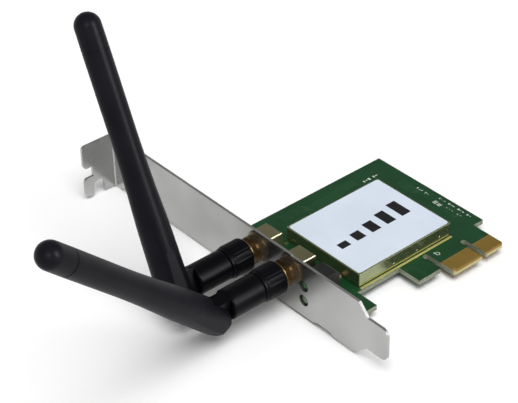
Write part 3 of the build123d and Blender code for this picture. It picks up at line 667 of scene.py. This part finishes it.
def addBoardPrint():
    bm = bmesh.new()
    inner = innerFace / mm
    jackFrame = boardPrint["jackFrame"]
    for axis in jackAxes:
        x = axis / mm
        printFrame(bm, (x - jackFrame["half"], inner + jackFrame["from"]),
                   (x + jackFrame["half"], inner + jackFrame["to"]))
    (lowX, lowY), (highX, highY) = boardPrint["holderFrame"]["low"], boardPrint["holderFrame"]["high"]
    printFrame(bm, (holderLow[0] / mm + lowX, holderLow[1] / mm + lowY),
               (holderHigh[0] / mm + highX, holderHigh[1] / mm + highY))
    for (x, y), (stepX, stepY), count, length, width in boardPrint["rows"].values():
        shares = boardPrint["widthsAlongX"] if stepX else boardPrint["widthsAlongY"]
        for k in range(count):
            turn = k % (len(shares) + 1)
            if turn == len(shares):
                continue
            here = Vector((x + stepX * k, y + stepY * k))
            tick = length * boardPrint["lengths"][k % len(boardPrint["lengths"])]
            there = here + Vector((tick, 0) if stepX else (0, tick))
            printLine(bm, [tuple(here), tuple(there)], 1, width * shares[turn])
    for fromX, toX, y, width in boardPrint["blocks"]:
        printLine(bm, [(fromX, y), (toX, y)], 1, width)
    ring = boardPrint["ring"]
    centreX, centreY = ring["centre"]
    angles = [2 * math.pi * k / ring["steps"] for k in range(ring["steps"] + 1)]
    circle = [(centreX + ring["radius"] * math.cos(a), centreY + ring["radius"] * math.sin(a))
              for a in angles]
    printLine(bm, circle, 1, ring["width"])
    below = boardPrint["framesBelow"]
    for k in range(below["count"]):
        x, y = below["start"][0] + below["pitch"] * k, below["start"][1]
        printFrame(bm, (x, y), (x + below["size"][0], y + below["size"][1]), -1)
    addObject("board_print", bm, made["whiteInk"], "card")


addBoardPrint()
print("board detail made")

# snap dimples round the lid's skirt
dimples = {"radius": 0.42, "perSide": 4, "height": 1.0, "steps": 16,
           "outline": [(1, -0.01), (0.85, 0.045), (0.5, 0.081), (0, 0.09)]}  # share of radius, height


def addDimples():
    bm = bmesh.new()
    for k in range(dimples["perSide"]):
        share = (k + 0.5) / dimples["perSide"]
        x = lidLow[0] + (lidHigh[0] - lidLow[0]) * share
        y = lidLow[1] + (lidHigh[1] - lidLow[1]) * share
        z = lidLow[2] + dimples["height"] * mm
        walls = (((x, lidLow[1], z), (0, -1, 0)), ((x, lidHigh[1], z), (0, 1, 0)),
                 ((lidLow[0], y, z), (-1, 0, 0)), ((lidHigh[0], y, z), (1, 0, 0)))
        for origin, direction in walls:
            place = facing(Vector(origin), direction, (0, 0, 1))
            turnedShares(bm, place, dimples["radius"], dimples["outline"], dimples["steps"])
    addObject("shield_dimples", bm, made["tinPlate"], "card", smooth=True)


addDimples()

# the table
table = {"halfSize": 3.0, "colour": (0.985, 0.985, 0.985), "rough": 0.7}
bm = bmesh.new()
bmesh.ops.create_grid(bm, x_segments=1, y_segments=1, size=table["halfSize"],
                      matrix=Matrix.Translation((0, 0, cadBounds[0][2])))
tableTop = newMaterial("tableTop", table["colour"], table["rough"])[0]
floor = addObject("floor", bm, tableTop, None)

# the room: dull surfaces get an even light; polished ones and the camera see a low white sweep, dimmer
# overhead, and a bright panel high on the right
room = {"even": 0.35, "sweep": (0.12, 0.45), "horizon": 1.0, "overhead": 0.32,
        "panelAim": (0.6, 0.5, 0.62), "panelEdge": (0.93, 0.97), "panel": 0.75}


def addRoom():
    world = bpy.data.worlds.new("studio")
    bpy.context.scene.world = world
    world.use_nodes = True
    tree = world.node_tree
    even = tree.nodes["Background"]
    seen = tree.nodes.new("ShaderNodeBackground")
    for light in (even, seen):
        feed(tree, light.inputs["Color"], (1, 1, 1))
    even.inputs["Strength"].default_value = room["even"]
    direction = tree.nodes.new("ShaderNodeTexCoord").outputs["Generated"]
    height = axes(tree, direction)["Z"]
    sweep = spread(tree, height, room["horizon"], room["overhead"], *room["sweep"], smooth=True)
    nearness = vectorNode(tree, "DOT_PRODUCT", direction, Vector(room["panelAim"]).normalized())
    panel = spread(tree, nearness, 0.0, room["panel"], *room["panelEdge"], smooth=True)
    path = tree.nodes.new("ShaderNodeLightPath").outputs
    polished = mathNode(tree, "MAXIMUM", path["Is Glossy Ray"], path["Is Transmission Ray"])
    strength = mathNode(tree, "MAXIMUM", path["Is Camera Ray"], mathNode(tree, "ADD", sweep, panel))
    tree.links.new(strength, seen.inputs["Strength"])
    mixed = tree.nodes.new("ShaderNodeMixShader")
    tree.links.new(mathNode(tree, "MAXIMUM", path["Is Camera Ray"], polished), mixed.inputs["Fac"])
    tree.links.new(even.outputs[0], mixed.inputs[1])
    tree.links.new(seen.outputs[0], mixed.inputs[2])
    tree.links.new(mixed.outputs[0], tree.nodes["World Output"].inputs["Surface"])


addRoom()

# lamps, in metres and watts; each one either lights the scene or is only seen in reflections
lamps = {
    "overhead": {"at": (1.0, -0.6, 2.6), "aim": (-0.03, -0.05, 0), "size": (1.9, 1.9), "power": 76.0,
                 "inReflections": False},
    "rightStrip": {"at": (0.66, 0.22, 0.4), "aim": (-0.03, -0.05, 0.02), "size": (0.08, 0.5), "power": 8.0,
                   "inReflections": True},
    "front": {"at": (0.56, -0.66, 0.68), "aim": (-0.03, -0.05, 0.02), "size": (0.26, 0.26), "power": 4.5,
              "inReflections": True},
}


def addLamp(name, lamp):
    data = bpy.data.lights.new(name, "AREA")
    data.shape = "RECTANGLE"
    data.size, data.size_y = lamp["size"]
    data.energy = lamp["power"]
    softLamp = bpy.data.objects.new(name, data)
    bpy.context.scene.collection.objects.link(softLamp)
    softLamp.location = lamp["at"]
    softLamp.rotation_euler = (Vector(lamp["aim"]) - Vector(lamp["at"])).to_track_quat("-Z", "Y").to_euler()
    softLamp.visible_glossy = lamp["inReflections"]
    softLamp.visible_diffuse = not lamp["inReflections"]


for name, lamp in lamps.items():
    addLamp(name, lamp)

# the camera: angles in degrees, eye, lens and sensor in mm, clipping in metres
photoCamera = {"azimuth": 50.093, "elevation": 35.267, "roll": -1.431, "eye": (250.87, -293.62, 292.7),
               "lens": 115.66, "sensor": 36, "shift": (-0.0017, -0.0104), "clip": (0.01, 20)}


def addCamera():
    data = bpy.data.cameras.new("photoCamera")
    data.lens = photoCamera["lens"]
    data.sensor_width = photoCamera["sensor"]
    data.shift_x, data.shift_y = photoCamera["shift"]
    data.clip_start, data.clip_end = photoCamera["clip"]
    camera = bpy.data.objects.new("photoCamera", data)
    bpy.context.scene.collection.objects.link(camera)
    az, el, roll = (math.radians(photoCamera[k]) for k in ("azimuth", "elevation", "roll"))
    back = Vector((math.sin(az) * math.cos(el), -math.cos(az) * math.cos(el), math.sin(el)))
    right = (-back).cross(Vector((0, 0, 1))).normalized()
    up = right.cross(-back)
    rolledRight = right * math.cos(roll) + up * math.sin(roll)
    rolledUp = up * math.cos(roll) - right * math.sin(roll)
    facingMatrix = Matrix((rolledRight, rolledUp, back)).transposed().to_4x4()
    camera.matrix_world = Matrix.Translation(Vector(photoCamera["eye"]) * mm) @ facingMatrix
    bpy.context.scene.camera = camera


addCamera()
bpy.context.scene.view_settings.view_transform = "Standard"
print("stage ready")
